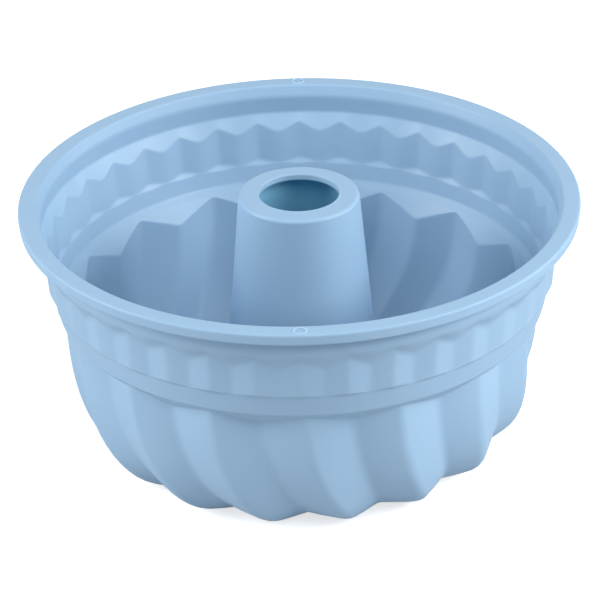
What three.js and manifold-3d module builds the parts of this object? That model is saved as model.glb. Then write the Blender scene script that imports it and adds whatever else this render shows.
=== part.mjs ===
// A fluted tube pan moulded in silicone, with a steel hoop inside its rim.
// Millimetres, +Z up, origin on the table at the centre of the foot. The front is -Y.
// The moulding is built in zones that meet face to face at its own creases, from the rim down:
// flange, collar, small flutes, plain ring, swirled flutes, floor, centre tube and tube crown.

import * as THREE from 'three';
import { mergeVertices } from 'three/addons/utils/BufferGeometryUtils.js';
import Module from 'manifold-3d';

// Rim flange
const RIM_RADIUS = 120;
const RIM_HEIGHT = 114.4;
const FLANGE_WIDTH = 7.6;
const FLANGE_THICKNESS = 5.2;
const FLANGE_DRAFT = 0.5;
const FLANGE_OVERHANG = 6.2;
const RIM_EDGE_ROUND = 1.2;
const UNDER_EDGE_CHAMFER = 0.6;
const LIP_EDGE_ROUND = 0.7;

// Steel hoop inside the flange, at the front and the back a round mark on the flange over it,
// and under each mark the well of the pin that held the hoop in the mould
const HOOP_WIRE_DIAMETER = 2.2;
const HOOP_CLEARANCE = 0.3;
const MARK_DIAMETER = 6;
const MARK_BORE = 4.2;
const MARK_HEIGHT = 0.3;
const MARK_DISH_DEPTH = 0.2;
const MARK_ROOT = 0.6;
const PIN_WELL_DIAMETER = 2.4;
const CUT_OVERRUN = 1;

// Wall, which is thicker in the collar, and the heights of the zones that hang under the flange
const WALL = 1.8;
const COLLAR_TOP_WALL = 3.3;
const COLLAR_BOTTOM_WALL = 2.6;
const COLLAR_HEIGHT = 8;
const SMALL_BAND_HEIGHT = 23.4;
const RING_HEIGHT = 9.7;

// Small straight flutes: the band draws in, and its outer corners lie in from the collar and down
// from it at the top, and out from the plain ring and up from it at the bottom
const SMALL_FLUTES = 36;
const SMALL_BAND_TAPER = 6.7;
const SMALL_RIDGE_TOP = { inset: 3.3, drop: 3.3 };
const SMALL_VALLEY_TOP = { inset: 5, drop: 8.3 };
const SMALL_RIDGE_BOTTOM = { out: 1.7, rise: 1.5 };
const SMALL_VALLEY_BOTTOM = { out: 0.1, rise: 0.6 };
const SMALL_LEDGE_RISE = 0.9;

// Plain ring, with a sloped shoulder inside its lower edge
const RING_TAPER = 2.2;
const SHOULDER_RISE = 2.8;
const SHOULDER_RUN = 2.4;

// Swirled flutes: the ridge and the valley are two curved meridians, twisted towards the foot.
// Their upper corners lie in from the plain ring, and down from it by one drop outside and one inside.
const SWIRL_FLUTES = 16;
const SWIRL_START = 0.9;
const SWIRL_TWIST = 13.4;
const SWIRL_CURVE = 2.2;
const RIDGE_INSET = 2;
const RIDGE_DROP = 1.7;
const RIDGE_INNER_DROP = 0.3;
const RIDGE_FOOT_RADIUS = 68.2;
const RIDGE_CURVE = 2.7;
const VALLEY_INSET = 6.9;
const VALLEY_DROP = 7;
const VALLEY_INNER_DROP = 8.2;
const VALLEY_FOOT_RADIUS = 53.5;
const VALLEY_CURVE = 2.76;

// Floor and centre tube
const FLOOR_THICKNESS = 2;
const FLOOR_ZONE_HEIGHT = 22;
const TUBE_RISE = 1.8;
const TUBE_TAPER = 0.09;
const TUBE_FOOT_HEIGHT = 12;
const TUBE_FOOT_ROUND = 4;
const HOLE_RADIUS = 17.2;
const HOLE_EDGE_ROUND = 0.8;
const CROWN_WIDTH = 8.6;
const CROWN_DEPTH = 4.2;
const CROWN_LIP = 2.6;
const CROWN_EDGE_ROUND = 1.6;

// Flats on the corners of the flutes, as shares of half a flute, and counts of facets
const RIDGE_FLAT = 0.1;
const VALLEY_FLAT = 0.1;
const RIM_FACETS = 72;
const TUBE_FACETS = 48;
const WIRE_FACETS = 8;
const MARK_FACETS = 16;
const ROUND_STEPS = 3;

const SILICONE = { color: 0xa3c4e4, roughness: 0.55, metalness: 0 };
const STEEL = { color: 0xb9bdc1, roughness: 0.35, metalness: 1 };

// Levels and radii where the zones meet
const hoopRadius = RIM_RADIUS - FLANGE_WIDTH / 2;
const hoopLevel = RIM_HEIGHT - FLANGE_THICKNESS / 2;
const flangeBottom = RIM_HEIGHT - FLANGE_THICKNESS;
const collarRadius = RIM_RADIUS - FLANGE_OVERHANG;
const collarTopInnerRadius = collarRadius - COLLAR_TOP_WALL;
const collarBottomInnerRadius = collarRadius - COLLAR_BOTTOM_WALL;
const collarBottom = flangeBottom - COLLAR_HEIGHT;
const ringTop = collarBottom - SMALL_BAND_HEIGHT;
const ringTopRadius = collarRadius - SMALL_BAND_TAPER;
const ringBottom = ringTop - RING_HEIGHT;
const ringBottomRadius = ringTopRadius - RING_TAPER;
const shoulderLevel = ringBottom + SHOULDER_RISE;
const shoulderTopRadius = ringBottomRadius + (RING_TAPER * SHOULDER_RISE) / RING_HEIGHT - WALL;
const shoulderFootRadius = shoulderTopRadius - SHOULDER_RUN;
const tubeHeight = RIM_HEIGHT + TUBE_RISE;
const crownBottom = tubeHeight - CROWN_DEPTH;

const wasm = await Module();
wasm.setup();

// Keeps only positions and joins the vertices that coincide.
function weld(geometry) {
  geometry.deleteAttribute('normal');
  geometry.deleteAttribute('uv');
  return mergeVertices(geometry);
}

// Points of a quarter round from angle to angle, in degrees, about a centre in the profile plane.
function arc(centreR, centreZ, radius, from, to) {
  const points = [];
  for (let i = 0; i <= ROUND_STEPS; i++) {
    const angle = THREE.MathUtils.degToRad(THREE.MathUtils.lerp(from, to, i / ROUND_STEPS));
    points.push({ r: centreR + radius * Math.cos(angle), z: centreZ + radius * Math.sin(angle) });
  }
  return points;
}

// A closed profile, counter-clockwise, turned round the Z axis.
function plainRing(profile, facets) {
  const closed = [...profile, profile[0]].map(({ r, z }) => new THREE.Vector2(r, z));
  return weld(new THREE.LatheGeometry(closed, facets).rotateX(Math.PI / 2));
}

// The four corners of one flute: how far round it they are, and how near to the ridge (1) they lie.
const FLUTE_CORNERS = [
  { turn: -RIDGE_FLAT / 2, rise: 1 - RIDGE_FLAT },
  { turn: RIDGE_FLAT / 2, rise: 1 - RIDGE_FLAT },
  { turn: (1 - VALLEY_FLAT) / 2, rise: VALLEY_FLAT },
  { turn: (1 + VALLEY_FLAT) / 2, rise: VALLEY_FLAT },
];

// A ring whose profile swings between a ridge meridian and a valley meridian, once a flute.
function flutedRing(ridge, valley, flutes, twistAt) {
  const columns = flutes * FLUTE_CORNERS.length;
  const rows = ridge.length + 1;
  const closed = [...ridge, ridge[0]].map(({ r, z }) => new THREE.Vector2(r, z));
  const geometry = new THREE.LatheGeometry(closed, columns);
  const position = geometry.attributes.position;
  for (let i = 0; i < position.count; i++) {
    const row = (i % rows) % ridge.length;
    const column = Math.floor(i / rows) % columns;
    const flute = Math.floor(column / FLUTE_CORNERS.length);
    const corner = FLUTE_CORNERS[column % FLUTE_CORNERS.length];
    const r = THREE.MathUtils.lerp(valley[row].r, ridge[row].r, corner.rise);
    const z = THREE.MathUtils.lerp(valley[row].z, ridge[row].z, corner.rise);
    const angle = ((flute + corner.turn) / flutes) * 2 * Math.PI + twistAt(z);
    position.setXYZ(i, r * Math.sin(angle), z, r * Math.cos(angle));
  }
  return weld(geometry.rotateX(Math.PI / 2));
}

function toSolid(geometry) {
  const welded = weld(geometry);
  const vertProperties = new Float32Array(welded.attributes.position.array);
  const triVerts = new Uint32Array(welded.index.array);
  return new wasm.Manifold(new wasm.Mesh({ numProp: 3, vertProperties, triVerts }));
}

function toGeometry(solid) {
  const mesh = solid.getMesh();
  const geometry = new THREE.BufferGeometry();
  geometry.setAttribute('position', new THREE.BufferAttribute(new Float32Array(mesh.vertProperties), 3));
  geometry.setIndex(new THREE.BufferAttribute(new Uint32Array(mesh.triVerts), 1));
  return geometry;
}

// A round bar turned into a hoop at the middle of the flange.
function hoop(barDiameter) {
  const section = [];
  for (let i = 0; i < WIRE_FACETS; i++) {
    const angle = ((i + 0.5) / WIRE_FACETS) * 2 * Math.PI;
    const r = hoopRadius + (barDiameter / 2) * Math.cos(angle);
    const z = hoopLevel + (barDiameter / 2) * Math.sin(angle);
    section.push({ r, z });
  }
  return plainRing(section, RIM_FACETS);
}

// An upright cylinder in line with the hoop, at the front (-1) or the back (1) of the rim.
function post(diameter, from, to, side) {
  const cylinder = new THREE.CylinderGeometry(diameter / 2, diameter / 2, to - from, MARK_FACETS);
  return toSolid(cylinder.rotateX(Math.PI / 2).translate(0, side * hoopRadius, (from + to) / 2));
}

function rimFlange() {
  const underRadius = RIM_RADIUS - FLANGE_DRAFT;
  const lipRadius = RIM_RADIUS - FLANGE_WIDTH;
  const profile = [
    { r: collarTopInnerRadius, z: flangeBottom },
    { r: underRadius - UNDER_EDGE_CHAMFER, z: flangeBottom },
    { r: underRadius, z: flangeBottom + UNDER_EDGE_CHAMFER },
    ...arc(RIM_RADIUS - RIM_EDGE_ROUND, RIM_HEIGHT - RIM_EDGE_ROUND, RIM_EDGE_ROUND, 0, 90),
    ...arc(lipRadius + LIP_EDGE_ROUND, RIM_HEIGHT - LIP_EDGE_ROUND, LIP_EDGE_ROUND, 90, 180),
  ];
  let flange = toSolid(plainRing(profile, RIM_FACETS));
  flange = flange.subtract(toSolid(hoop(HOOP_WIRE_DIAMETER + 2 * HOOP_CLEARANCE)));
  for (const side of [-1, 1]) {
    const top = RIM_HEIGHT + MARK_HEIGHT;
    flange = flange.add(post(MARK_DIAMETER, RIM_HEIGHT - MARK_ROOT, top, side));
    flange = flange.subtract(post(MARK_BORE, RIM_HEIGHT - MARK_DISH_DEPTH, top + CUT_OVERRUN, side));
    flange = flange.subtract(post(PIN_WELL_DIAMETER, flangeBottom - CUT_OVERRUN, hoopLevel, side));
  }
  return toGeometry(flange);
}

function upperCollar() {
  const profile = [
    { r: collarRadius, z: collarBottom },
    { r: collarRadius, z: flangeBottom },
    { r: collarTopInnerRadius, z: flangeBottom },
    { r: collarBottomInnerRadius, z: collarBottom },
  ];
  return plainRing(profile, RIM_FACETS);
}

// A meridian of the small flutes, from its outer corners at the top and the bottom.
function smallFluteMeridian(top, bottom) {
  const upper = { r: collarRadius - top.inset, z: collarBottom - top.drop };
  const lower = { r: ringTopRadius + bottom.out, z: ringTop + bottom.rise };
  return [
    { r: ringTopRadius, z: ringTop },
    lower,
    upper,
    { r: collarRadius, z: collarBottom },
    { r: collarBottomInnerRadius, z: collarBottom },
    { r: upper.r - WALL, z: upper.z },
    { r: lower.r - WALL, z: lower.z + SMALL_LEDGE_RISE },
    { r: ringTopRadius - WALL, z: ringTop },
  ];
}

function smallFluteBand() {
  const ridge = smallFluteMeridian(SMALL_RIDGE_TOP, SMALL_RIDGE_BOTTOM);
  const valley = smallFluteMeridian(SMALL_VALLEY_TOP, SMALL_VALLEY_BOTTOM);
  return flutedRing(ridge, valley, SMALL_FLUTES, () => 0);
}

function shoulderRing() {
  const profile = [
    { r: ringBottomRadius, z: ringBottom },
    { r: ringTopRadius, z: ringTop },
    { r: ringTopRadius - WALL, z: ringTop },
    { r: shoulderTopRadius, z: shoulderLevel },
    { r: shoulderFootRadius, z: ringBottom },
  ];
  return plainRing(profile, RIM_FACETS);
}

// Radius of a flute meridian at a level: steep under the ring, level where it reaches the foot.
function fluteRadius(z, topRadius, footRadius, footLevel, power) {
  const depth = (ringBottom - z) / (ringBottom - footLevel);
  return footRadius + (topRadius - footRadius) * (1 - depth ** power) ** (1 / power);
}

// The outer and the inner meridian of a ridge or of a valley, as points at a level, and their tops.
function fluteMeridians(inset, drop, innerDrop, footRadius, power) {
  const topRadius = ringBottomRadius - inset;
  return {
    outer: (z) => ({ r: fluteRadius(z, topRadius, footRadius, 0, power), z }),
    inner: (z) => ({ r: fluteRadius(z, topRadius - WALL, footRadius, FLOOR_THICKNESS, power), z }),
    outerTop: ringBottom - drop,
    innerTop: ringBottom - innerDrop,
  };
}

const RIDGE = fluteMeridians(
  RIDGE_INSET, RIDGE_DROP, RIDGE_INNER_DROP, RIDGE_FOOT_RADIUS, RIDGE_CURVE,
);
const VALLEY = fluteMeridians(
  VALLEY_INSET, VALLEY_DROP, VALLEY_INNER_DROP, VALLEY_FOOT_RADIUS, VALLEY_CURVE,
);

// The swirl starts a little off the front and grows ever faster with the depth under the ring.
function swirlAt(z) {
  const depth = Math.max(0, ringBottom - z) / ringBottom;
  return THREE.MathUtils.degToRad(SWIRL_START + SWIRL_TWIST * depth ** SWIRL_CURVE);
}

// Shares of the way up the wall, and of the way up the rounded foot, where the facets break.
const WALL_BREAKS = [0, 0.3, 0.58, 0.82];
const FOOT_BREAKS = [0, 0.055, 0.23, 0.55, 1];

// Levels up the wall to the top of a meridian; the breaks are shared out under the top of the valley.
function wallLevels(valleyTop, top) {
  const levels = WALL_BREAKS.map((share) => THREE.MathUtils.lerp(FLOOR_ZONE_HEIGHT, valleyTop, share));
  return [...levels, top];
}

function swirlWallMeridian({ outer, inner, outerTop, innerTop }) {
  return [
    ...wallLevels(VALLEY.outerTop, outerTop).map(outer),
    { r: ringBottomRadius, z: ringBottom },
    { r: shoulderFootRadius, z: ringBottom },
    ...wallLevels(VALLEY.innerTop, innerTop).map(inner).reverse(),
  ];
}

function swirlFluteWall() {
  return flutedRing(swirlWallMeridian(RIDGE), swirlWallMeridian(VALLEY), SWIRL_FLUTES, swirlAt);
}

function tubeRadius(z) {
  return HOLE_RADIUS + CROWN_WIDTH + TUBE_TAPER * (tubeHeight - z);
}

function floorMeridian({ outer, inner }) {
  const outside = FOOT_BREAKS.map((share) => outer(share * FLOOR_ZONE_HEIGHT));
  const insideLevel = (share) => THREE.MathUtils.lerp(FLOOR_THICKNESS, FLOOR_ZONE_HEIGHT, share);
  const inside = FOOT_BREAKS.map((share) => inner(insideLevel(share))).reverse();
  const filletLevel = FLOOR_THICKNESS + TUBE_FOOT_ROUND;
  return [
    { r: tubeRadius(0) - WALL + TUBE_FOOT_ROUND, z: 0 },
    ...outside,
    ...inside,
    { r: tubeRadius(FLOOR_THICKNESS) + TUBE_FOOT_ROUND, z: FLOOR_THICKNESS },
    { r: tubeRadius(filletLevel), z: filletLevel },
    { r: tubeRadius(TUBE_FOOT_HEIGHT), z: TUBE_FOOT_HEIGHT },
    { r: tubeRadius(TUBE_FOOT_HEIGHT) - WALL, z: TUBE_FOOT_HEIGHT },
    { r: tubeRadius(TUBE_FOOT_ROUND) - WALL, z: TUBE_FOOT_ROUND },
  ];
}

function troughFloor() {
  return flutedRing(floorMeridian(RIDGE), floorMeridian(VALLEY), SWIRL_FLUTES, swirlAt);
}

function centreTube() {
  const profile = [
    { r: tubeRadius(TUBE_FOOT_HEIGHT), z: TUBE_FOOT_HEIGHT },
    { r: tubeRadius(crownBottom), z: crownBottom },
    { r: tubeRadius(crownBottom) - WALL, z: crownBottom },
    { r: tubeRadius(TUBE_FOOT_HEIGHT) - WALL, z: TUBE_FOOT_HEIGHT },
  ];
  return plainRing(profile, TUBE_FACETS);
}

function tubeCrown() {
  const lipBottom = tubeHeight - CROWN_LIP;
  const edgeLevel = tubeHeight - CROWN_EDGE_ROUND;
  const profile = [
    { r: tubeRadius(crownBottom), z: crownBottom },
    ...arc(tubeRadius(edgeLevel) - CROWN_EDGE_ROUND, edgeLevel, CROWN_EDGE_ROUND, 0, 90),
    ...arc(HOLE_RADIUS + HOLE_EDGE_ROUND, tubeHeight - HOLE_EDGE_ROUND, HOLE_EDGE_ROUND, 90, 180),
    { r: HOLE_RADIUS, z: lipBottom },
    { r: tubeRadius(lipBottom) - WALL, z: lipBottom },
    { r: tubeRadius(crownBottom) - WALL, z: crownBottom },
  ];
  return plainRing(profile, TUBE_FACETS);
}

const pan = new THREE.Group();

function addPiece(name, geometry, finish) {
  const mesh = new THREE.Mesh(geometry, new THREE.MeshStandardMaterial(finish));
  mesh.name = name;
  pan.add(mesh);
}

addPiece('rim_hoop', hoop(HOOP_WIRE_DIAMETER), STEEL);
addPiece('rim_flange', rimFlange(), SILICONE);
addPiece('upper_collar', upperCollar(), SILICONE);
addPiece('small_flute_band', smallFluteBand(), SILICONE);
addPiece('shoulder_ring', shoulderRing(), SILICONE);
addPiece('swirl_flute_wall', swirlFluteWall(), SILICONE);
addPiece('trough_floor', troughFloor(), SILICONE);
addPiece('centre_tube', centreTube(), SILICONE);
addPiece('tube_crown', tubeCrown(), SILICONE);

export default pan;
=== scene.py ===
"""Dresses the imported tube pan: a seamless silicone moulding, the steel hoop in its rim and a stage.

Lengths are metres. The pan stands on z = 0 with its centre tube on the Z axis and its front towards -Y.
"""

from collections import namedtuple
from math import atan2, cos, exp, hypot, pi, radians, sin, tau

import bmesh
import bpy
from bpy.props import FloatProperty, FloatVectorProperty, IntProperty, PointerProperty
from bpy.types import Operator, Panel, PropertyGroup
from mathutils import Matrix, Vector


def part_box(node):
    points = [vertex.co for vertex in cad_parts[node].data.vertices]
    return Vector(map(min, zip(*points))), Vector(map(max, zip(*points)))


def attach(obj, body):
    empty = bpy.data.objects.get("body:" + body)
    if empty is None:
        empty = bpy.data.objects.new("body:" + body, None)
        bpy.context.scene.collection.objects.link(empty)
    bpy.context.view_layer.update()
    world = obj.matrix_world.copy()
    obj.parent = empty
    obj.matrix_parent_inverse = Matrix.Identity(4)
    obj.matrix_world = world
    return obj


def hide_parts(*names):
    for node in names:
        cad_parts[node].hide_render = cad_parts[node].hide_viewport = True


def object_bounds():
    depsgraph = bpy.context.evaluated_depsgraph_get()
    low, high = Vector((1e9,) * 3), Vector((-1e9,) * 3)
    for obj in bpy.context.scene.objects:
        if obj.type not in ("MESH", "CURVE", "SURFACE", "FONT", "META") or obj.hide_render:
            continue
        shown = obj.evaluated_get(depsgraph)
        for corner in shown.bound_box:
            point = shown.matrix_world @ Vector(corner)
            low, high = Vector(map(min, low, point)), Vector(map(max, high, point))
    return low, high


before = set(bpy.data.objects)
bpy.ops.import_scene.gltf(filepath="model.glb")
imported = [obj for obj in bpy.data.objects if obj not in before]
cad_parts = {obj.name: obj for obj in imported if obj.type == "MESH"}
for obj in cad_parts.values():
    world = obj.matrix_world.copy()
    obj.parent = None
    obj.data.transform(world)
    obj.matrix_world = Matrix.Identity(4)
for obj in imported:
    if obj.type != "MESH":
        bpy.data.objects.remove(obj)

bl_info = {
    "name": "Fluted Tube Pan",
    "version": (1, 0, 0),
    "blender": (4, 5, 0),
    "location": "3D View > Sidebar > Tube Pan",
    "description": "Builds a silicone fluted tube pan with a steel hoop in its rim, and a studio stage",
    "category": "Add Mesh",
}

CAD_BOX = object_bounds()
BODY = "root"
SILICONE_NODES = (
    "rim_flange",
    "upper_collar",
    "small_flute_band",
    "shoulder_ring",
    "swirl_flute_wall",
    "trough_floor",
    "centre_tube",
    "tube_crown",
)
FLANGE_LOW, FLANGE_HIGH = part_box("rim_flange")
COLLAR_LOW, COLLAR_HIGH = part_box("upper_collar")
RING_LOW, RING_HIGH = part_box("shoulder_ring")
SWIRL_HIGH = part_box("swirl_flute_wall")[1]
CROWN_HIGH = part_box("tube_crown")[1]
HOOP_LOW, HOOP_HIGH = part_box("rim_hoop")

FLANGE_WIDTH = 0.0076
MARK_HEIGHT = 0.0003

# Fineness of the meshes
CORNER_STEPS = 4
MERIDIAN_STEPS = 17
MERIDIAN_CROWDING = 2.2
COLUMNS = 576
POST_SIDES = 48
BEAD_SIDES = 16
BEAD_STEPS = 48
WIRE_SIDES = 20
HOOP_STEPS = 360
SHARP_DEGREES = 50
SLIVER = 0.000002

# Stage
PHOTO_PIXELS = 600
SENSOR_WIDTH = 36
LIGHT_DISTANCE = 1.6
LIGHT_HEIGHT = 0.6
FLOOR_SIZE = 6
FLOOR_GAP = 0.0001
FLOOR_TONE = 0.6
FLOOR_GLOW = 0.7
Softbox = namedtuple("Softbox", "name around above width")
SOFTBOXES = (
    Softbox("left", -80, 32, 0.6),
    Softbox("left_low", -80, 12, 1.2),
    Softbox("right", 70, 32, 1.2),
    Softbox("right_low", 100, 12, 0.6),
    Softbox("front", 0, 50, 0.6),
)

# Finishes: how rough and how smooth they get, the fineness of their clouds and grain, and their relief
SILICONE_IOR = 1.41
STEEL_SHADE = 0.8
CLOUD_DETAIL = 3
CLOUD_ROUGHNESS = 0.55
GRAIN_DETAIL = 2
GRAIN_DEPTH = 0.0002
Texture = namedtuple("Texture", "rough smooth cloud_scale grain_scale bump")
SATIN = Texture(rough=0.5, smooth=0.4, cloud_scale=45, grain_scale=2200, bump=0.05)
# Texture of the round marks; their pale colour, set in the finish, is a painted highlight round the raised
# beads
PAINTED_HIGHLIGHT_TEXTURE = Texture(rough=0.6, smooth=0.5, cloud_scale=400, grain_scale=2200, bump=0.05)
DRAWN = Texture(rough=0.4, smooth=0.25, cloud_scale=300, grain_scale=4000, bump=0.15)


def length(name, description, default):
    """A property for a length in metres."""
    return FloatProperty(name=name, description=description, default=default, unit="LENGTH", precision=5)


def share(name, description, default):
    """A property for a share between nothing and all."""
    return FloatProperty(name=name, description=description, default=default, subtype="FACTOR", min=0, max=1)


def angle(name, description, degrees):
    """A property for an angle, given in degrees."""
    return FloatProperty(name=name, description=description, default=radians(degrees), subtype="ANGLE")


def colour(name, description, default):
    """A property for a linear colour."""
    return FloatVectorProperty(
        name=name, description=description, default=default, subtype="COLOR", min=0, max=1
    )


class TUBEPAN_PG_rim(PropertyGroup):
    """Sizes of the rim flange, the collar under it and the wall."""

    radius: length("Rim radius", "Outer radius of the flange", FLANGE_HIGH.x)
    height: length("Rim height", "Height of the flange's top", FLANGE_HIGH.z - MARK_HEIGHT)
    underside: length("Flange underside", "Height of the flange's underside", FLANGE_LOW.z)
    width: length("Flange width", "Width of the flange's flat top", FLANGE_WIDTH)
    draft: length("Flange draft", "How far the flange draws in towards its underside", 0.0005)
    edge: length("Outer edge", "Reach of the rounding of the flange's outer edge", 0.0014)
    lip: length("Inner edge", "Reach of the rounding of the flange's inner edge", 0.0009)
    under_edge: length("Lower edge", "Reach of the rounding of the flange's lower edge", 0.0008)
    wall: length("Wall", "Thickness of the silicone", 0.0018)
    collar_radius: length("Collar radius", "Outer radius of the collar", COLLAR_HIGH.x)
    collar_top_wall: length("Upper collar wall", "Thickness of the collar under the flange", 0.0033)
    collar_wall: length("Lower collar wall", "Thickness of the collar at its bottom", 0.0026)
    collar_bottom: length("Collar bottom", "Height where the collar ends", COLLAR_LOW.z)
    collar_round: length("Collar rounding", "Reach of the rounding under the collar outside", 0.004)
    slope_round: length("Slope rounding", "Reach of the rounding under the flange's slope inside", 0.0013)
    crease: length("Crease", "Reach of the rounding of the other creases", 0.0009)


class TUBEPAN_PG_small_flutes(PropertyGroup):
    """Sizes of the straight small flutes and of the plain ring under them."""

    flutes: IntProperty(name="Small flutes", description="Flutes round the pan", default=36)
    ridge_inset: length("Ridge inset", "How far the ridges start in from the collar", 0.0033)
    ridge_drop: length("Ridge drop", "How far the ridges start under the collar", 0.0033)
    valley_inset: length("Valley inset", "How far the valleys start in from the collar", 0.005)
    valley_drop: length("Valley drop", "How far the valleys start under the collar", 0.0083)
    ridge_out: length("Ridge foot", "How far the ridges end out from the ring", 0.0017)
    ridge_rise: length("Ridge foot rise", "How far the ridges end above the ring", 0.0015)
    valley_out: length("Valley foot", "How far the valleys end out from the ring", 0.0001)
    valley_rise: length("Valley foot rise", "How far the valleys end above the ring", 0.0006)
    ledge_rise: length("Ledge rise", "How much higher the flutes end inside", 0.0009)
    ring_top_radius: length("Ring top radius", "Outer radius of the ring's top", RING_HIGH.x)
    ring_top: length("Ring top", "Height of the ring's top", RING_HIGH.z)
    ring_radius: length("Ring radius", "Outer radius of the ring's bottom", SWIRL_HIGH.x)
    ring_bottom: length("Ring bottom", "Height of the ring's bottom", RING_LOW.z)
    shoulder_rise: length("Shoulder rise", "Height of the slope inside the ring's lower edge", 0.0028)
    shoulder_run: length("Shoulder run", "Width of the slope inside the ring's lower edge", 0.0024)
    top_round: length("Top rounding", "Reach of the rounding of the flutes' upper corner outside", 0.0025)
    ridge_round: share("Ridge rounding", "Rounded share of half a flute at the ridge", 0.1)
    valley_round: share("Valley rounding", "Rounded share of half a flute at the valley outside", 0.14)
    inner_valley_round: share("Inner valley rounding", "The same share at the valley inside", 0.32)


class TUBEPAN_PG_swirl(PropertyGroup):
    """Sizes of the swirled lower flutes."""

    flutes: IntProperty(name="Swirled flutes", description="Flutes round the pan", default=16)
    start: angle("Start", "How far off the front the first flute starts", 0.9)
    twist: angle("Twist", "How far the flutes turn between the ring and the foot", 13.4)
    twist_curve: FloatProperty(name="Twist curve", description="Power of the twist's growth", default=2.2)
    ridge_inset: length("Ridge inset", "How far the ridges lie in from the ring", 0.002)
    ridge_drop: length("Ridge drop", "How far the ridges start under the ring outside", 0.0017)
    ridge_inner_drop: length("Ridge inner drop", "How far the ridges start under the ring inside", 0.0003)
    ridge_foot: length("Ridge foot", "Radius where the ridges reach the foot", 0.0682)
    ridge_curve: FloatProperty(name="Ridge curve", description="Power of the ridges' curve", default=2.7)
    valley_inset: length("Valley inset", "How far the valleys lie in from the ring", 0.0069)
    valley_drop: length("Valley drop", "How far the valleys start under the ring outside", 0.007)
    valley_inner_drop: length("Valley inner drop", "How far the valleys start under the ring inside", 0.0082)
    valley_foot: length("Valley foot", "Radius where the valleys reach the foot", 0.0535)
    valley_curve: FloatProperty(name="Valley curve", description="Power of the valleys' curve", default=2.76)
    corner: length("Upper corner", "Reach of the rounding of the flutes' upper corner", 0.001)
    floor: length("Floor", "Thickness of the floor", 0.002)
    ridge_round: share("Ridge rounding", "Rounded share of half a flute at the ridge, under the ring", 0.08)
    foot_ridge_round: share("Ridge foot rounding", "Rounded share of half a flute at the ridge's foot", 0.2)
    valley_round: share("Valley rounding", "Rounded share of half a flute at the valley", 0.12)


class TUBEPAN_PG_tube(PropertyGroup):
    """Sizes of the hollow centre tube."""

    height: length("Tube height", "Height of the tube's top", CROWN_HIGH.z)
    radius: length("Tube radius", "Outer radius at the tube's top", 0.0258)
    taper: FloatProperty(name="Taper", description="How much the radius grows per length down", default=0.09)
    hole: length("Hole radius", "Radius of the hole in the crown", 0.0172)
    lip: length("Crown lip", "Thickness of the crown round the hole", 0.0026)
    crown_edge: length("Crown edge", "Reach of the rounding of the crown's outer edge", 0.0019)
    flash: length("Flash", "How far the moulding flash stands up round the hole", 0.0004)
    flash_width: length("Flash width", "Width of the moulding flash round the hole", 0.0011)
    # How far down the painted light in the hollow takes to reach its full colour
    painted_glow_fade: length("Hollow fade", "How far down the hollow's colour is full", 0.0078)
    foot_round: length("Foot rounding", "Reach of the rounding between tube and floor", 0.0055)


class TUBEPAN_PG_hoop(PropertyGroup):
    """Sizes of the steel hoop, and of the round marks and pin wells over and under it."""

    wire: length("Wire diameter", "Diameter of the hoop's wire", 0.0022)
    radius: length("Hoop radius", "Radius of the wire's middle", FLANGE_HIGH.x - FLANGE_WIDTH / 2)
    level: length("Hoop level", "Height of the wire's middle", (HOOP_LOW.z + HOOP_HIGH.z) / 2)
    weld: length("Weld", "How far the butt weld stands out", 0.0002)
    weld_length: length("Weld length", "Half length of the butt weld", 0.0025)
    mark: length("Mark diameter", "Outer diameter of a round mark", 0.006)
    mark_bore: length("Mark bore", "Inner diameter of a round mark", 0.0042)
    mark_height: length("Mark height", "How far a mark stands up", MARK_HEIGHT)
    mark_dish: length("Mark dish", "How deep a mark is sunk inside", 0.0002)
    well: length("Pin well", "Diameter of a pin well under the flange", 0.0024)


class TUBEPAN_PG_finish(PropertyGroup):
    """Colours of the silicone and of the steel."""

    silicone: colour("Silicone", "Main colour of the silicone", (0.318, 0.467, 0.622))
    silicone_deep: colour("Deep silicone", "Colour of the silicone's darker clouds", (0.292, 0.441, 0.596))
    # Painted highlight: the round marks are coloured paler, standing in for the highlight that runs round
    # each raised bead
    mark: colour("Marks", "Colour of the round marks, where the silicone is scuffed pale", (0.46, 0.6, 0.76))
    # Painted light: the hollow colour is a brighter, deeper blue that stands in for light coming through the
    # thin wall into the tube
    hollow: colour("Hollow", "Colour deep in the tube, where light comes through the wall", (0.27, 0.6, 0.8))
    steel: colour("Steel", "Colour of the hoop's wire", (0.56, 0.57, 0.58))


class TUBEPAN_PG_studio(PropertyGroup):
    """The camera, the backdrop and the light."""

    distance: length("Camera distance", "From the camera to the middle of the rim", 1.4)
    rim_plane: length("Aim height", "Height of the point that the camera turns about", 0.114)
    turn: angle("Turn", "How far the camera stands round the pan", 0.45)
    elevation: angle("Elevation", "How far the camera stands above the rim", 27.139)
    yaw: angle("Yaw", "How far the camera looks to the right of the rim's middle", -0.026)
    pitch: angle("Pitch", "How far the camera looks above the rim's middle", -1.791)
    roll: angle("Roll", "How far the camera is rolled", -1.391)
    focal_pixels: FloatProperty(name="Focal length", description="In pixels of the picture", default=3279.6)
    backdrop: colour("Backdrop", "Colour behind the pan", (1, 1, 1))
    ambient: colour("Ambient", "Light from all around", (0.08, 0.15, 0.21))
    left: FloatProperty(name="Left light", description="Power in watts", default=15.8)
    left_low: FloatProperty(name="Low left light", description="Power in watts", default=8.4)
    right: FloatProperty(name="Right light", description="Power in watts", default=25)
    right_low: FloatProperty(name="Low right light", description="Power in watts", default=6.4)
    front: FloatProperty(name="Front light", description="Power in watts", default=5.2)


# Outline of the moulding: each corner lies on a ridge and in a valley of the flutes round the pan

Corner = namedtuple("Corner", "ridge valley reach wave")
Wave = namedtuple("Wave", "flutes start ridge_round valley_round")
PLAIN = Wave(0, 0, 0.5, 0.5)
LEG_SHARE = 0.46


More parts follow.
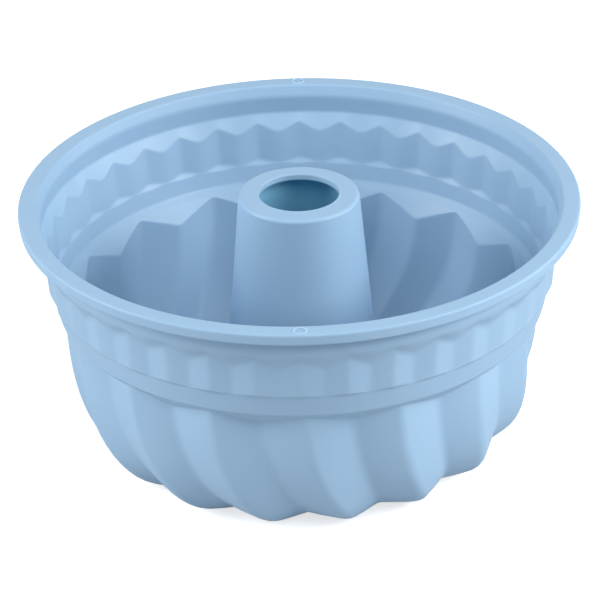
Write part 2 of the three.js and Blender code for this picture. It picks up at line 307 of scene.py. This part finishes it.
def plain(r, z, reach=0.0, wave=PLAIN):
    """A corner that runs level round the pan."""
    return Corner(Vector((r, z)), Vector((r, z)), reach, wave)


def fluted(ridge, valley, reach, wave):
    """A corner that swings between a ridge and a valley."""
    return Corner(Vector(ridge), Vector(valley), reach, wave)


def rounded(before, corner, after, reach):
    """Points of the curve that rounds one corner of an outline."""
    start = corner + (before - corner).normalized() * min(reach, LEG_SHARE * (before - corner).length)
    end = corner + (after - corner).normalized() * min(reach, LEG_SHARE * (after - corner).length)
    points = []
    for step in range(CORNER_STEPS + 1):
        t = step / CORNER_STEPS
        points.append(start.lerp(corner, t).lerp(corner.lerp(end, t), t))
    return points


def outline_rows(corners):
    """Rows of the moulding, each a point on the ridge, a point in the valley and the wave between them."""
    rows = []
    for index, here in enumerate(corners):
        if here.reach == 0:
            rows.append((here.ridge, here.valley, here.wave))
            continue
        before = corners[index - 1]
        after = corners[(index + 1) % len(corners)]
        ridge = rounded(before.ridge, here.ridge, after.ridge, here.reach)
        valley = rounded(before.valley, here.valley, after.valley, here.reach)
        rows.extend((r, v, here.wave) for r, v in zip(ridge, valley))
    return rows


def flute_radius(z, ring_bottom, top_radius, foot_radius, foot_level, power):
    """Radius of a swirled flute's meridian: steep under the ring, level where it reaches the foot."""
    depth = (ring_bottom - z) / (ring_bottom - foot_level)
    return foot_radius + (top_radius - foot_radius) * (1 - depth**power) ** (1 / power)


def swirl_corners(small, swirl, wall, foot_level, ridge_drop, valley_drop):
    """Corners of the swirled flutes from the foot up, on the outside or, with a wall, on the inside."""
    ridge_top = small.ring_radius - swirl.ridge_inset - wall
    valley_top = small.ring_radius - swirl.valley_inset - wall
    corners = []
    for step in range(MERIDIAN_STEPS + 1):
        rise = (step / MERIDIAN_STEPS) ** MERIDIAN_CROWDING
        ridge_z = foot_level + (small.ring_bottom - ridge_drop - foot_level) * rise
        valley_z = foot_level + (small.ring_bottom - valley_drop - foot_level) * rise
        ridge_r = flute_radius(
            ridge_z, small.ring_bottom, ridge_top, swirl.ridge_foot, foot_level, swirl.ridge_curve
        )
        valley_r = flute_radius(
            valley_z, small.ring_bottom, valley_top, swirl.valley_foot, foot_level, swirl.valley_curve
        )
        ridge_round = swirl.foot_ridge_round + (swirl.ridge_round - swirl.foot_ridge_round) * rise
        wave = Wave(swirl.flutes, swirl.start, ridge_round, swirl.valley_round)
        corners.append(fluted((ridge_r, ridge_z), (valley_r, valley_z), 0.0, wave))
    top = corners.pop()
    corners.append(top._replace(reach=swirl.corner))
    return corners


def small_flute_corners(rim, small, wall, ledge_rise, top_round, wave):
    """The lower and the upper corner of the small flutes, on the outside or, with a wall, on the inside."""
    foot_radius = small.ring_top_radius - wall
    foot_level = small.ring_top + ledge_rise
    top_radius = rim.collar_radius - wall
    lower = fluted(
        (foot_radius + small.ridge_out, foot_level + small.ridge_rise),
        (foot_radius + small.valley_out, foot_level + small.valley_rise),
        rim.crease,
        wave,
    )
    upper = fluted(
        (top_radius - small.ridge_inset, rim.collar_bottom - small.ridge_drop),
        (top_radius - small.valley_inset, rim.collar_bottom - small.valley_drop),
        top_round,
        wave,
    )
    return [lower, upper]


def moulding_corners(scene):
    """The whole outline, from the crown's underside down the hollow, up the outside and down the inside."""
    rim = scene.tubepan_rim
    small = scene.tubepan_small_flutes
    swirl = scene.tubepan_swirl
    tube = scene.tubepan_tube
    small_wave = Wave(small.flutes, 0, small.ridge_round, small.valley_round)
    inner_wave = small_wave._replace(valley_round=small.inner_valley_round)
    swirl_wave = Wave(swirl.flutes, swirl.start, swirl.ridge_round, swirl.valley_round)
    crease = rim.crease
    tight_crease = crease / 2
    flash_crease = crease / 3
    wall = rim.wall

    def tube_radius(z):
        return tube.radius + tube.taper * (tube.height - z)

    lip_bottom = tube.height - tube.lip
    ring_slope = (small.ring_top_radius - small.ring_radius) / (small.ring_top - small.ring_bottom)
    shoulder_radius = small.ring_radius + ring_slope * small.shoulder_rise - wall
    inner_flutes = swirl_corners(
        small, swirl, wall, swirl.floor, swirl.ridge_inner_drop, swirl.valley_inner_drop
    )
    underside = [
        plain(tube.hole, lip_bottom, tight_crease),
        plain(tube_radius(lip_bottom) - wall, lip_bottom, crease),
        plain(tube_radius(0) - wall, 0, tube.foot_round),
    ]
    outside = [
        *swirl_corners(small, swirl, 0, 0, swirl.ridge_drop, swirl.valley_drop),
        plain(small.ring_radius, small.ring_bottom, crease, swirl_wave),
        plain(small.ring_top_radius, small.ring_top, tight_crease, small_wave),
        *small_flute_corners(rim, small, 0, 0, small.top_round, small_wave),
        plain(rim.collar_radius, rim.collar_bottom, rim.collar_round, small_wave),
        plain(rim.collar_radius, rim.underside, tight_crease),
    ]
    flange = [
        plain(rim.radius - rim.draft, rim.underside, rim.under_edge),
        plain(rim.radius, rim.height, rim.edge),
        plain(rim.radius - rim.width, rim.height, rim.lip),
    ]
    inside = [
        plain(rim.collar_radius - rim.collar_top_wall, rim.underside, rim.slope_round),
        plain(rim.collar_radius - rim.collar_wall, rim.collar_bottom, crease, inner_wave),
        *reversed(small_flute_corners(rim, small, wall, small.ledge_rise, crease, inner_wave)),
        plain(small.ring_top_radius - wall, small.ring_top, tight_crease, inner_wave),
        plain(shoulder_radius, small.ring_bottom + small.shoulder_rise, crease),
        plain(shoulder_radius - small.shoulder_run, small.ring_bottom, tight_crease, swirl_wave),
        *reversed(inner_flutes),
        plain(tube_radius(swirl.floor), swirl.floor, tube.foot_round),
        plain(tube.radius, tube.height, tube.crown_edge),
        plain(tube.hole + tube.flash_width, tube.height, flash_crease),
        plain(tube.hole + tube.flash_width / 2, tube.height + tube.flash, tube.flash),
        plain(tube.hole, tube.height, flash_crease),
    ]
    return underside + outside + flange + inside


def ridge_share(turned, wave):
    """How near to its ridge (1) a place round the pan lies, with the ridge and the valley rounded."""
    flutes_round = (turned - wave.start) / tau * wave.flutes
    off_ridge = 2 * abs(flutes_round - round(flutes_round))
    off_valley = 1 - off_ridge
    if off_ridge < wave.ridge_round:
        return 1 - wave.ridge_round / 2 - off_ridge**2 / (2 * wave.ridge_round)
    if off_valley < wave.valley_round:
        return wave.valley_round / 2 + off_valley**2 / (2 * wave.valley_round)
    return off_valley


def spin_rows(rows, columns):
    """A mesh made by spinning the ridge outline round the Z axis; each vertex remembers its row."""
    mesh = bmesh.new()
    row_layer = mesh.verts.layers.int.new("row")
    ring = []
    for index, (ridge, _, _) in enumerate(rows):
        vertex = mesh.verts.new((0, -ridge.x, ridge.y))
        vertex[row_layer] = index
        ring.append(vertex)
    edges = [mesh.edges.new((ring[index - 1], ring[index])) for index in range(len(ring))]
    bmesh.ops.spin(
        mesh, geom=ring + edges, cent=(0, 0, 0), axis=(0, 0, 1), angle=tau, steps=columns, use_merge=True
    )
    return mesh, row_layer


def flute(mesh, row_layer, rows, swirl, ring_bottom):
    """Moves each vertex from the ridge outline to its place on the flutes, and swirls the lower ones."""
    for vertex in mesh.verts:
        ridge, valley, wave = rows[vertex[row_layer]]
        turned = atan2(vertex.co.x, -vertex.co.y)
        place = valley.lerp(ridge, ridge_share(turned, wave))
        depth = max(0.0, ring_bottom - place.y) / ring_bottom
        turned += swirl.twist * depth**swirl.twist_curve
        vertex.co = (place.x * sin(turned), -place.x * cos(turned), place.y)


def new_piece(name, mesh, material):
    """A finished piece at the origin from a bmesh, riding on the pan's one body."""
    data = bpy.data.meshes.new(name)
    mesh.to_mesh(data)
    mesh.free()
    data.shade_smooth()
    piece = bpy.data.objects.new(name, data)
    bpy.context.scene.collection.objects.link(piece)
    data.materials.append(material)
    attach(piece, BODY)
    return piece


def post(mesh, diameter, low, high, place):
    """Adds an upright cylinder to a bmesh."""
    bmesh.ops.create_cone(
        mesh,
        cap_ends=True,
        segments=POST_SIDES,
        radius1=diameter / 2,
        radius2=diameter / 2,
        depth=high - low,
        matrix=Matrix.Translation((place.x, place.y, (low + high) / 2)),
    )


def bead(mesh, outer, inner, height, place):
    """Adds a ring with an oval section to a bmesh; it stands its height above the place."""
    made = bmesh.ops.create_circle(mesh, segments=BEAD_SIDES, radius=1)
    section = Matrix.Diagonal(((outer - inner) / 2, height, 1, 1))
    stand = Matrix.Translation(((outer + inner) / 2, 0, 0)) @ Matrix.Rotation(pi / 2, 4, "X")
    bmesh.ops.transform(mesh, matrix=Matrix.Translation(place) @ stand @ section, verts=made["verts"])
    edges = list({edge for vertex in made["verts"] for edge in vertex.link_edges})
    bmesh.ops.spin(
        mesh,
        geom=made["verts"] + edges,
        cent=place,
        axis=(0, 0, 1),
        angle=tau,
        steps=BEAD_STEPS,
        use_merge=True,
    )


def cut(piece, tool_mesh, operation, material):
    """Joins or cuts a piece with a tool mesh, whose faces in the piece's mesh then have the material."""
    data = bpy.data.meshes.new("tool")
    tool_mesh.to_mesh(data)
    tool_mesh.free()
    data.materials.append(material)
    tool = bpy.data.objects.new("tool", data)
    bpy.context.scene.collection.objects.link(tool)
    modifier = piece.modifiers.new(operation, "BOOLEAN")
    modifier.operation = operation
    modifier.solver = "EXACT"
    modifier.material_mode = "TRANSFER"
    modifier.object = tool
    graph = bpy.context.evaluated_depsgraph_get()
    result = bpy.data.meshes.new_from_object(piece.evaluated_get(graph))
    old = piece.data
    piece.modifiers.clear()
    piece.data = result
    result.name = piece.name
    bpy.data.meshes.remove(old)
    bpy.data.objects.remove(tool)
    bpy.data.meshes.remove(data)


def clean(piece):
    """Merges the slivers that joining and cutting leave in a piece's mesh."""
    mesh = bmesh.new()
    mesh.from_mesh(piece.data)
    bmesh.ops.remove_doubles(mesh, verts=mesh.verts, dist=SLIVER)
    bmesh.ops.dissolve_degenerate(mesh, edges=mesh.edges, dist=SLIVER)
    mesh.to_mesh(piece.data)
    mesh.free()


# Materials


def node_tree(name):
    """A new material with an empty node tree and its output."""
    material = bpy.data.materials.new(name)
    material.use_nodes = True
    tree = material.node_tree
    tree.nodes.clear()
    output = tree.nodes.new("ShaderNodeOutputMaterial")
    return material, tree, output


def clouds_group():
    """A node group of soft clouds and fine grain, used by the silicone and the steel."""
    found = bpy.data.node_groups.get("Clouds and Grain")
    if found:
        return found
    group = bpy.data.node_groups.new("Clouds and Grain", "ShaderNodeTree")
    sockets = group.interface
    sockets.new_socket("Cloud Scale", in_out="INPUT", socket_type="NodeSocketFloat")
    sockets.new_socket("Grain Scale", in_out="INPUT", socket_type="NodeSocketFloat")
    sockets.new_socket("Clouds", in_out="OUTPUT", socket_type="NodeSocketFloat")
    sockets.new_socket("Grain", in_out="OUTPUT", socket_type="NodeSocketFloat")
    entry = group.nodes.new("NodeGroupInput")
    leave = group.nodes.new("NodeGroupOutput")
    place = group.nodes.new("ShaderNodeTexCoord")
    clouds = group.nodes.new("ShaderNodeTexNoise")
    clouds.inputs["Detail"].default_value = CLOUD_DETAIL
    clouds.inputs["Roughness"].default_value = CLOUD_ROUGHNESS
    grain = group.nodes.new("ShaderNodeTexNoise")
    grain.inputs["Detail"].default_value = GRAIN_DETAIL
    link = group.links.new
    link(place.outputs["Object"], clouds.inputs["Vector"])
    link(place.outputs["Object"], grain.inputs["Vector"])
    link(entry.outputs["Cloud Scale"], clouds.inputs["Scale"])
    link(entry.outputs["Grain Scale"], grain.inputs["Scale"])
    link(clouds.outputs["Fac"], leave.inputs["Clouds"])
    link(grain.outputs["Fac"], leave.inputs["Grain"])
    return group


def surface(name, light, dark, texture):
    """A Principled material whose colour and roughness follow soft clouds, with a fine grain as bump."""
    material, tree, output = node_tree(name)
    shader = tree.nodes.new("ShaderNodeBsdfPrincipled")
    pattern = tree.nodes.new("ShaderNodeGroup")
    pattern.node_tree = clouds_group()
    pattern.inputs["Cloud Scale"].default_value = texture.cloud_scale
    pattern.inputs["Grain Scale"].default_value = texture.grain_scale
    tint = tree.nodes.new("ShaderNodeMix")
    tint.data_type = "RGBA"
    tint.inputs["A"].default_value = (*dark, 1)
    tint.inputs["B"].default_value = (*light, 1)
    gloss = tree.nodes.new("ShaderNodeMapRange")
    gloss.inputs["To Min"].default_value = texture.smooth
    gloss.inputs["To Max"].default_value = texture.rough
    relief = tree.nodes.new("ShaderNodeBump")
    relief.inputs["Strength"].default_value = texture.bump
    relief.inputs["Distance"].default_value = GRAIN_DEPTH
    link = tree.links.new
    link(pattern.outputs["Clouds"], tint.inputs["Factor"])
    link(tint.outputs["Result"], shader.inputs["Base Color"])
    link(pattern.outputs["Clouds"], gloss.inputs["Value"])
    link(gloss.outputs["Result"], shader.inputs["Roughness"])
    link(pattern.outputs["Grain"], relief.inputs["Height"])
    link(relief.outputs["Normal"], shader.inputs["Normal"])
    link(shader.outputs["BSDF"], output.inputs["Surface"])
    return material, shader


def silicone_material(finish, tube, wall):
    """Satin silicone: faint clouds in colour and gloss, a fine grain, and a deeper colour in the hollow that
    is painted light, standing in for light coming through the wall.
    """
    material, shader = surface("Satin Silicone", finish.silicone, finish.silicone_deep, SATIN)
    shader.inputs["IOR"].default_value = SILICONE_IOR
    tree = material.node_tree
    # Painted light: the hollow colour is mixed in where the mask says, for light coming through the wall
    tint = tree.nodes.new("ShaderNodeMix")
    tint.data_type = "RGBA"
    tint.inputs["B"].default_value = (*finish.hollow, 1)
    base = shader.inputs["Base Color"]
    link = tree.links.new
    link(base.links[0].from_socket, tint.inputs["A"])
    link(painted_glow_mask(tree, tube, wall), tint.inputs["Factor"])
    link(tint.outputs["Result"], base)
    return material


def painted_glow_mask(tree, tube, wall):
    """A mask of the tube's hollow, inside the middle of the tapered wall, that grows in from its mouth; it
    places the painted light in the hollow.
    """
    place = tree.nodes.new("ShaderNodeTexCoord")
    parts = tree.nodes.new("ShaderNodeSeparateXYZ")
    flat = tree.nodes.new("ShaderNodeCombineXYZ")
    radius = tree.nodes.new("ShaderNodeVectorMath")
    radius.operation = "LENGTH"
    straightened = tree.nodes.new("ShaderNodeMath")
    straightened.operation = "MULTIPLY_ADD"
    straightened.inputs[1].default_value = tube.taper
    inside = tree.nodes.new("ShaderNodeMath")
    inside.operation = "LESS_THAN"
    inside.inputs[1].default_value = tube.radius + tube.taper * tube.height - wall / 2
    depth = tree.nodes.new("ShaderNodeMapRange")
    depth.inputs["From Min"].default_value = tube.height - tube.flash
    depth.inputs["From Max"].default_value = tube.height - tube.painted_glow_fade
    mask = tree.nodes.new("ShaderNodeMath")
    mask.operation = "MULTIPLY"
    link = tree.links.new
    link(place.outputs["Object"], parts.inputs["Vector"])
    link(parts.outputs["X"], flat.inputs["X"])
    link(parts.outputs["Y"], flat.inputs["Y"])
    link(flat.outputs["Vector"], radius.inputs["Vector"])
    link(parts.outputs["Z"], straightened.inputs[0])
    link(radius.outputs["Value"], straightened.inputs[2])
    link(straightened.outputs["Value"], inside.inputs[0])
    link(parts.outputs["Z"], depth.inputs["Value"])
    link(inside.outputs["Value"], mask.inputs[0])
    link(depth.outputs["Result"], mask.inputs[1])
    return mask.outputs["Value"]


def painted_highlight_material(finish):
    """The same silicone painted pale on the round marks: a painted highlight round each raised bead."""
    material, shader = surface("Scuffed Silicone", finish.mark, finish.silicone, PAINTED_HIGHLIGHT_TEXTURE)
    shader.inputs["IOR"].default_value = SILICONE_IOR
    return material


def steel_material(finish):
    """Bare drawn wire."""
    dark = [STEEL_SHADE * part for part in finish.steel]
    material, shader = surface("Drawn Steel", finish.steel, dark, DRAWN)
    shader.inputs["Metallic"].default_value = 1
    return material


# Operators


class TUBEPAN_OT_moulding(Operator):
    """Make the silicone moulding as one seamless skin, with its round marks and pin wells"""

    bl_idname = "tubepan.moulding"
    bl_label = "Silicone Moulding"

    def execute(self, context):
        scene = context.scene
        rim = scene.tubepan_rim
        finish = scene.tubepan_finish
        rows = outline_rows(moulding_corners(scene))
        mesh, row_layer = spin_rows(rows, COLUMNS)
        flute(mesh, row_layer, rows, scene.tubepan_swirl, scene.tubepan_small_flutes.ring_bottom)
        mesh.verts.layers.int.remove(row_layer)
        bmesh.ops.recalc_face_normals(mesh, faces=mesh.faces)
        silicone = silicone_material(finish, scene.tubepan_tube, rim.wall)
        piece = new_piece("silicone_moulding", mesh, silicone)
        self.add_marks(piece, rim, scene.tubepan_hoop, painted_highlight_material(finish))
        piece.data.set_sharp_from_angle(angle=radians(SHARP_DEGREES))
        weighted = piece.modifiers.new("Weighted Normals", "WEIGHTED_NORMAL")
        weighted.keep_sharp = True
        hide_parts(*SILICONE_NODES)
        return {"FINISHED"}

    def add_marks(self, piece, rim, hoop, highlighted):
        """Raises a bead at the front and the back of the flange, and sinks its dish and its pin well."""
        added = bmesh.new()
        taken = bmesh.new()
        clear = rim.wall
        for side in (-1, 1):
            place = Vector((0, side * hoop.radius, rim.height))
            bead(added, hoop.mark / 2, hoop.mark_bore / 2, hoop.mark_height, place)
            post(taken, hoop.mark_bore, rim.height - hoop.mark_dish, rim.height + clear, place)
            post(taken, hoop.well, rim.underside - clear, hoop.level, place)
        cut(piece, taken, "DIFFERENCE", piece.data.materials[0])
        # The beads take the pale mark material, a painted highlight round each of them
        cut(piece, added, "UNION", highlighted)
        clean(piece)


class TUBEPAN_OT_hoop(Operator):
    """Make the steel hoop that lies inside the flange"""

    bl_idname = "tubepan.hoop"
    bl_label = "Steel Hoop"

    def execute(self, context):
        hoop = context.scene.tubepan_hoop
        mesh = bmesh.new()
        made = bmesh.ops.create_circle(mesh, segments=WIRE_SIDES, radius=hoop.wire / 2)
        stand = Matrix.Translation((hoop.radius, 0, hoop.level)) @ Matrix.Rotation(pi / 2, 4, "X")
        bmesh.ops.transform(mesh, matrix=stand, verts=made["verts"])
        bmesh.ops.spin(
            mesh,
            geom=mesh.verts[:] + mesh.edges[:],
            cent=(0, 0, 0),
            axis=(0, 0, 1),
            angle=tau,
            steps=HOOP_STEPS,
            use_merge=True,
        )
        self.add_weld(mesh, hoop)
        bmesh.ops.recalc_face_normals(mesh, faces=mesh.faces)
        piece = new_piece("rim_hoop_wire", mesh, steel_material(context.scene.tubepan_finish))
        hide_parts("rim_hoop")
        return {"FINISHED"}

    def add_weld(self, mesh, hoop):
        """Swells the wire where its two ends are butt welded, at the left of the rim."""
        for vertex in mesh.verts:
            x, y, z = vertex.co
            r = hypot(x, y)
            along = hoop.radius * atan2(y, -x)
            swell = 1 + 2 * hoop.weld / hoop.wire * exp(-((along / hoop.weld_length) ** 2))
            grown = (hoop.radius + (r - hoop.radius) * swell) / r
            vertex.co = (x * grown, y * grown, hoop.level + (z - hoop.level) * swell)


class TUBEPAN_OT_stage(Operator):
    """Set up the floor, the backdrop, the lights and the camera"""

    bl_idname = "tubepan.stage"
    bl_label = "Studio Stage"

    def execute(self, context):
        scene = context.scene
        studio = scene.tubepan_studio
        scene.view_settings.view_transform = "Standard"
        self.add_floor(scene, studio)
        self.add_world(scene, studio)
        for softbox in SOFTBOXES:
            self.add_light(scene, softbox, getattr(studio, softbox.name))
        self.add_camera(scene, studio)
        return {"FINISHED"}

    def add_floor(self, scene, studio):
        """A wide pale floor that shows white from above, keeps the pan's shadow and is clear from below."""
        mesh = bmesh.new()
        under_foot = Matrix.Translation((0, 0, -FLOOR_GAP))
        bmesh.ops.create_grid(mesh, x_segments=2, y_segments=2, size=FLOOR_SIZE, matrix=under_foot)
        data = bpy.data.meshes.new("floor")
        mesh.to_mesh(data)
        mesh.free()
        floor = bpy.data.objects.new("floor", data)
        scene.collection.objects.link(floor)
        material, tree, output = node_tree("Studio Floor")
        paper = tree.nodes.new("ShaderNodeBsdfDiffuse")
        paper.inputs["Color"].default_value = (FLOOR_TONE, FLOOR_TONE, FLOOR_TONE, 1)
        glow = tree.nodes.new("ShaderNodeEmission")
        glow.inputs["Color"].default_value = (*studio.backdrop, 1)
        ray = tree.nodes.new("ShaderNodeLightPath")
        both = tree.nodes.new("ShaderNodeAddShader")
        clear = tree.nodes.new("ShaderNodeBsdfTransparent")
        facing = tree.nodes.new("ShaderNodeNewGeometry")
        sides = tree.nodes.new("ShaderNodeMixShader")
        level = tree.nodes.new("ShaderNodeMath")
        level.operation = "MULTIPLY"
        level.inputs[1].default_value = FLOOR_GLOW
        link = tree.links.new
        link(ray.outputs["Is Camera Ray"], level.inputs[0])
        link(level.outputs["Value"], glow.inputs["Strength"])
        link(paper.outputs["BSDF"], both.inputs[0])
        link(glow.outputs["Emission"], both.inputs[1])
        link(facing.outputs["Backfacing"], sides.inputs["Fac"])
        link(both.outputs["Shader"], sides.inputs[1])
        link(clear.outputs["BSDF"], sides.inputs[2])
        link(sides.outputs["Shader"], output.inputs["Surface"])
        data.materials.append(material)

    def add_world(self, scene, studio):
        """White behind the pan, and softer light from all around on it."""
        world = bpy.data.worlds.new("Studio World")
        world.use_nodes = True
        scene.world = world
        tree = world.node_tree
        tree.nodes.clear()
        output = tree.nodes.new("ShaderNodeOutputWorld")
        seen = tree.nodes.new("ShaderNodeBackground")
        seen.inputs["Color"].default_value = (*studio.backdrop, 1)
        lit = tree.nodes.new("ShaderNodeBackground")
        lit.inputs["Color"].default_value = (*studio.ambient, 1)
        ray = tree.nodes.new("ShaderNodeLightPath")
        glossy = tree.nodes.new("ShaderNodeMath")
        glossy.operation = "MAXIMUM"
        through = tree.nodes.new("ShaderNodeMath")
        through.operation = "MAXIMUM"
        mix = tree.nodes.new("ShaderNodeMixShader")
        link = tree.links.new
        link(ray.outputs["Is Camera Ray"], glossy.inputs[0])
        link(ray.outputs["Is Glossy Ray"], glossy.inputs[1])
        link(glossy.outputs["Value"], through.inputs[0])
        link(ray.outputs["Is Transmission Ray"], through.inputs[1])
        link(through.outputs["Value"], mix.inputs["Fac"])
        link(lit.outputs["Background"], mix.inputs[1])
        link(seen.outputs["Background"], mix.inputs[2])
        link(mix.outputs["Shader"], output.inputs["Surface"])

    def add_light(self, scene, softbox, power):
        """A soft rectangular light aimed at the pan, placed by degrees round from its front and up."""
        name = softbox.name + "_softbox"
        data = bpy.data.lights.new(name, "AREA")
        data.shape = "RECTANGLE"
        data.size = softbox.width
        data.size_y = LIGHT_HEIGHT
        data.energy = power
        light = bpy.data.objects.new(name, data)
        scene.collection.objects.link(light)
        light.matrix_world = (
            Matrix.Translation((0, 0, CAD_BOX[1].z / 2))
            @ Matrix.Rotation(radians(softbox.around), 4, "Z")
            @ Matrix.Rotation(pi / 2 - radians(softbox.above), 4, "X")
            @ Matrix.Translation((0, 0, LIGHT_DISTANCE))
        )

    def add_camera(self, scene, studio):
        """A camera that stands where the photograph was taken from."""
        data = bpy.data.cameras.new("photo_camera")
        data.sensor_width = SENSOR_WIDTH
        data.lens = studio.focal_pixels * SENSOR_WIDTH / PHOTO_PIXELS
        camera = bpy.data.objects.new("photo_camera", data)
        scene.collection.objects.link(camera)
        back = studio.distance * cos(studio.elevation)
        up = studio.distance * sin(studio.elevation)
        camera.matrix_world = (
            Matrix.Rotation(studio.turn, 4, "Z")
            @ Matrix.Translation((0, -back, studio.rim_plane + up))
            @ Matrix.Rotation(pi / 2 - studio.elevation, 4, "X")
            @ Matrix.Rotation(-studio.yaw, 4, "Y")
            @ Matrix.Rotation(studio.pitch, 4, "X")
            @ Matrix.Rotation(studio.roll, 4, "Z")
        )
        scene.camera = camera


class TUBEPAN_PT_pieces(Panel):
    """Lists the pan's pieces in the sidebar"""

    bl_idname = "TUBEPAN_PT_pieces"
    bl_label = "Tube Pan"
    bl_space_type = "VIEW_3D"
    bl_region_type = "UI"
    bl_category = "Tube Pan"

    def draw(self, context):
        column = self.layout.column(align=True)
        for operator in OPERATORS:
            column.operator(operator.bl_idname)


OPERATORS = (TUBEPAN_OT_moulding, TUBEPAN_OT_hoop, TUBEPAN_OT_stage)
GROUPS = {
    "tubepan_rim": TUBEPAN_PG_rim,
    "tubepan_small_flutes": TUBEPAN_PG_small_flutes,
    "tubepan_swirl": TUBEPAN_PG_swirl,
    "tubepan_tube": TUBEPAN_PG_tube,
    "tubepan_hoop": TUBEPAN_PG_hoop,
    "tubepan_finish": TUBEPAN_PG_finish,
    "tubepan_studio": TUBEPAN_PG_studio,
}
CLASSES = (*GROUPS.values(), *OPERATORS, TUBEPAN_PT_pieces)


def register():
    """Registers the classes and hangs the property groups on the scene."""
    for made in CLASSES:
        bpy.utils.register_class(made)
    for name, group in GROUPS.items():
        setattr(bpy.types.Scene, name, PointerProperty(type=group))


def unregister():
    """Takes the property groups off the scene and unregisters the classes."""
    for name in GROUPS:
        delattr(bpy.types.Scene, name)
    for made in reversed(CLASSES):
        bpy.utils.unregister_class(made)


def main():
    register()
    bpy.ops.tubepan.moulding()
    bpy.ops.tubepan.hoop()
    bpy.ops.tubepan.stage()


if __name__ == "__main__":
    main()
